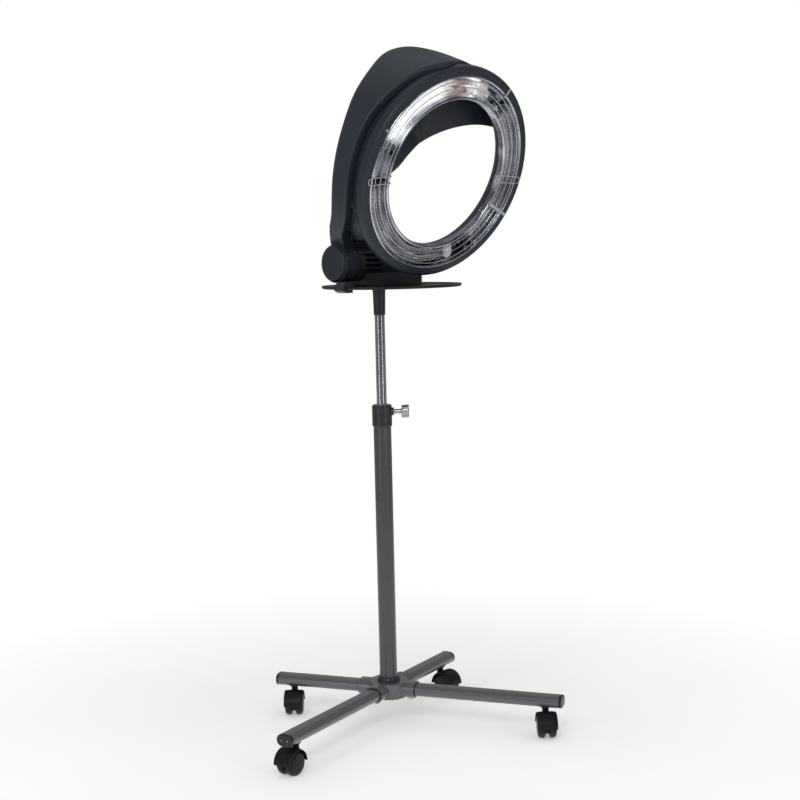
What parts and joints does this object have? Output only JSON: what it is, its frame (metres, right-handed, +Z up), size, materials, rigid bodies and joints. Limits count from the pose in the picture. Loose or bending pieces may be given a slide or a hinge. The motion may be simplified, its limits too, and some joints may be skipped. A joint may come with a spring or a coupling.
{
  "type": "hair color processor",
  "caption": "Salon hair processor: a lamp ring carried by a tilting sickle-shaped hood, on a tray and a height-adjustable column with a cross base on twin-wheel castors.",
  "frame": {"origin": "on the floor, in the middle of the room that the stand takes up; the column's axis is 65.21 mm to +X and 58.57 mm to +Y of it", "axes": "+Z up along the column, -Y the way the lamp ring faces, +X along the hood's tilt axis towards the timer end of the drum"},
  "size_m": [0.6432, 0.594, 1.4237],
  "materials": {
    "satin_steel": "satin metallic grey paint on flat-oval tube",
    "grey_casting": "satin metallic grey",
    "black_plastic": "fine-grained moulded black",
    "black_tray": "satin black",
    "zinc_steel": "bright zinc",
    "tube_grey": "satin grey paint",
    "dark_collar": "moulded dark grey",
    "black_rubber": "matte",
    "chrome_tube": "mirror chrome",
    "castor_black": "moulded black nylon",
    "slate_plastic": "fine-grained slate blue-grey",
    "bronze_bush": "sintered bronze",
    "polished_reflector": "polished, stepped",
    "lamp_glass": "frosted quartz",
    "white_ceramic": "unglazed white",
    "guard_chrome": "bright drawn wire"
  },
  "bodies": {
    "stand": {"base_hub": "grey_casting", "hub_bolts": "zinc_steel", "leg_end_caps": "black_plastic", "castor_sockets": "black_plastic", "column_outer_tube": "tube_grey", "column_foot_ring": "black_plastic", "column_guide_bush": "black_plastic", "clamp_collar": "dark_collar", "base_leg_front_right": "satin_steel", "base_leg_front_left": "satin_steel", "base_leg_rear_left": "satin_steel", "base_leg_rear_right": "satin_steel"},
    "thumb_screw": {"thumb_screw": "zinc_steel", "thumb_screw_knob": "dark_collar"},
    "clamp_pad": {"clamp_pad": "black_rubber"},
    "column": {"column_inner_tube": "chrome_tube", "inner_tube_foot_plug": "black_plastic"},
    "head_base": {"head_socket": "black_plastic", "tool_tray": "black_tray", "tray_rim_clip": "black_plastic", "drum_housing": "black_plastic", "drum_end_cover": "black_plastic", "friction_ring": "black_plastic", "tilt_bush": "bronze_bush", "power_inlet": "black_plastic", "timer_unit": "black_plastic"},
    "timer_knob": {"timer_knob": "black_plastic"},
    "power_switch": {"power_switch": "black_plastic"},
    "hood": {"tilt_axle": "zinc_steel", "hub_cover": "slate_plastic", "hood_shell": "slate_plastic", "ring_housing": "slate_plastic", "ring_skirt": "slate_plastic", "vent_block": "black_plastic", "ring_brackets": "zinc_steel", "ring_reflector": "polished_reflector", "lamp_top": "lamp_glass", "lamp_right": "lamp_glass", "lamp_bottom": "lamp_glass", "lamp_end_blocks": "white_ceramic", "lamp_guard_wires": "guard_chrome", "guard_struts": "guard_chrome", "reflector_clips": "guard_chrome"},
    "castor_front_right": {"castor_frame_front_right": "castor_black"},
    "wheel_front_right_left": {"castor_wheel_front_right_left": "castor_black"},
    "wheel_front_right_right": {"castor_wheel_front_right_right": "castor_black"},
    "castor_front_left": {"castor_frame_front_left": "castor_black"},
    "wheel_front_left_left": {"castor_wheel_front_left_left": "castor_black"},
    "wheel_front_left_right": {"castor_wheel_front_left_right": "castor_black"},
    "castor_rear_left": {"castor_frame_rear_left": "castor_black"},
    "wheel_rear_left_left": {"castor_wheel_rear_left_left": "castor_black"},
    "wheel_rear_left_right": {"castor_wheel_rear_left_right": "castor_black"},
    "castor_rear_right": {"castor_frame_rear_right": "castor_black"},
    "wheel_rear_right_left": {"castor_wheel_rear_right_left": "castor_black"},
    "wheel_rear_right_right": {"castor_wheel_rear_right_right": "castor_black"}
  },
  "joints": [
    {"name": "castor_swivel_front_right", "type": "hinge", "parent": "stand", "child": "castor_front_right", "pos_m": [0.23275, -0.24872, 0.06], "axis": [0, 0, 1], "continuous": true},
    {"name": "wheel_spin_front_right_left", "type": "hinge", "parent": "castor_front_right", "child": "wheel_front_right_left", "pos_m": [0.22094, -0.26231, 0.025], "axis": [0.7547, -0.6561, 0], "continuous": true},
    {"name": "wheel_spin_front_right_right", "type": "hinge", "parent": "castor_front_right", "child": "wheel_front_right_right", "pos_m": [0.22094, -0.26231, 0.025], "axis": [0.7547, -0.6561, 0], "continuous": true},
    {"name": "castor_swivel_front_left", "type": "hinge", "parent": "stand", "child": "castor_front_left", "pos_m": [-0.27089, -0.03908, 0.06], "axis": [0, 0, 1], "continuous": true},
    {"name": "wheel_spin_front_left_left", "type": "hinge", "parent": "castor_front_left", "child": "wheel_front_left_left", "pos_m": [-0.28836, -0.04343, 0.025], "axis": [0.2419, -0.9703, 0], "continuous": true},
    {"name": "wheel_spin_front_left_right", "type": "hinge", "parent": "castor_front_left", "child": "wheel_front_left_right", "pos_m": [-0.28836, -0.04343, 0.025], "axis": [0.2419, -0.9703, 0], "continuous": true},
    {"name": "castor_swivel_rear_left", "type": "hinge", "parent": "stand", "child": "castor_rear_left", "pos_m": [-0.04202, 0.25524, 0.06], "axis": [0, 0, 1], "continuous": true},
    {"name": "wheel_spin_rear_left_left", "type": "hinge", "parent": "castor_rear_left", "child": "wheel_rear_left_left", "pos_m": [-0.05452, 0.24229, 0.025], "axis": [0.7193, -0.6947, 0], "continuous": true},
    {"name": "wheel_spin_rear_left_right", "type": "hinge", "parent": "castor_rear_left", "child": "wheel_rear_left_right", "pos_m": [-0.05452, 0.24229, 0.025], "axis": [0.7193, -0.6947, 0], "continuous": true},
    {"name": "castor_swivel_rear_right", "type": "hinge", "parent": "stand", "child": "castor_rear_right", "pos_m": [0.28032, 0.12106, 0.06], "axis": [0, 0, 1], "continuous": true},
    {"name": "wheel_spin_rear_right_left", "type": "hinge", "parent": "castor_rear_right", "child": "wheel_rear_right_left", "pos_m": [0.28282, 0.10324, 0.025], "axis": [0.9903, 0.1392, 0], "continuous": true},
    {"name": "wheel_spin_rear_right_right", "type": "hinge", "parent": "castor_rear_right", "child": "wheel_rear_right_right", "pos_m": [0.28282, 0.10324, 0.025], "axis": [0.9903, 0.1392, 0], "continuous": true},
    {"name": "thumb_screw_turn", "type": "hinge", "parent": "clamp_pad", "child": "thumb_screw", "pos_m": [0.08021, 0.04534, 0.681], "axis": [0.7501, -0.6613, 0], "range_deg": [0, 720]},
    {"name": "clamp_travel", "type": "slide", "parent": "stand", "child": "clamp_pad", "axis": [0.7501, -0.6613, 0], "range_m": [0, 0.0025]},
    {"name": "column_height", "type": "slide", "parent": "stand", "child": "column", "axis": [0, 0, 1], "range_m": [-0.18, 0.25]},
    {"name": "head_swivel", "type": "hinge", "parent": "column", "child": "head_base", "pos_m": [0.06521, 0.05857, 0.91], "axis": [0, 0, 1], "range_deg": [-170, 170]},
    {"name": "hood_tilt", "type": "hinge", "parent": "head_base", "child": "hood", "pos_m": [-0.01479, 0.05857, 1], "axis": [-1, 0, 0], "range_deg": [-6, 40]},
    {"name": "timer_turn", "type": "hinge", "parent": "head_base", "child": "timer_knob", "pos_m": [0.16521, 0.05857, 1.012], "axis": [1, 0, 0], "range_deg": [0, 300]},
    {"name": "switch_rock", "type": "hinge", "parent": "head_base", "child": "power_switch", "pos_m": [0.16221, 0.05857, 0.983], "axis": [0, 0, 1], "range_deg": [-7, 7]}
  ],
  "couplings": [
    {"joint": "thumb_screw_turn", "follows": "clamp_travel", "rad_per_m": 5026.5}
  ]
}
